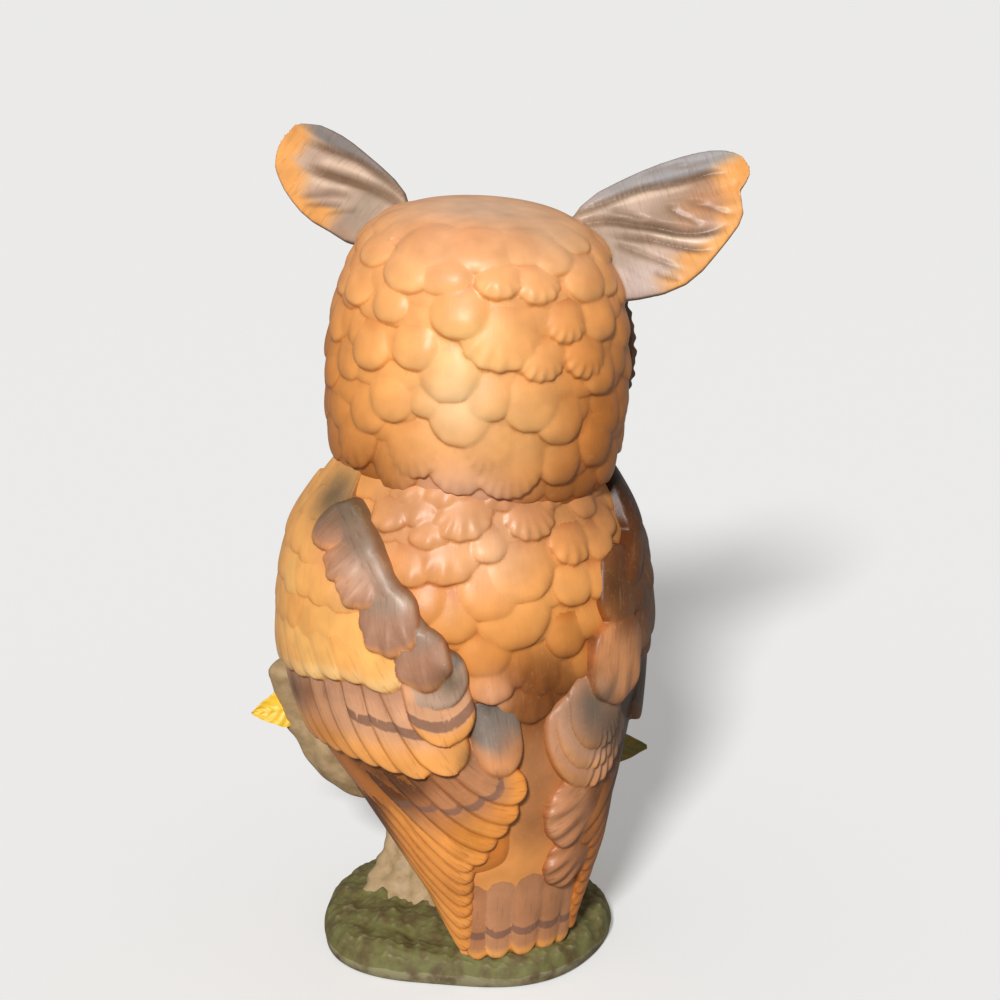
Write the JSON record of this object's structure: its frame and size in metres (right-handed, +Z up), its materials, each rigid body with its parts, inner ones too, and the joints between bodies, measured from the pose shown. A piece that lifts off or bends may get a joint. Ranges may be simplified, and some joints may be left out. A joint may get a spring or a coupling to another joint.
{
  "type": "owl figurine",
  "caption": "Perched horned owl figurine of painted bisque porcelain, head turned, standing on a low round base.",
  "frame": {"origin": "centre of the flat underside of the base", "axes": "+Z up through the head, -Y the way the body faces, +X the owl's own left"},
  "size_m": [0.077, 0.069, 0.1322],
  "materials": {
    "painted_bisque": "matt painted bisque"
  },
  "bodies": {
    "root": {"owl_figurine": "painted_bisque"}
  },
  "joints": []
}
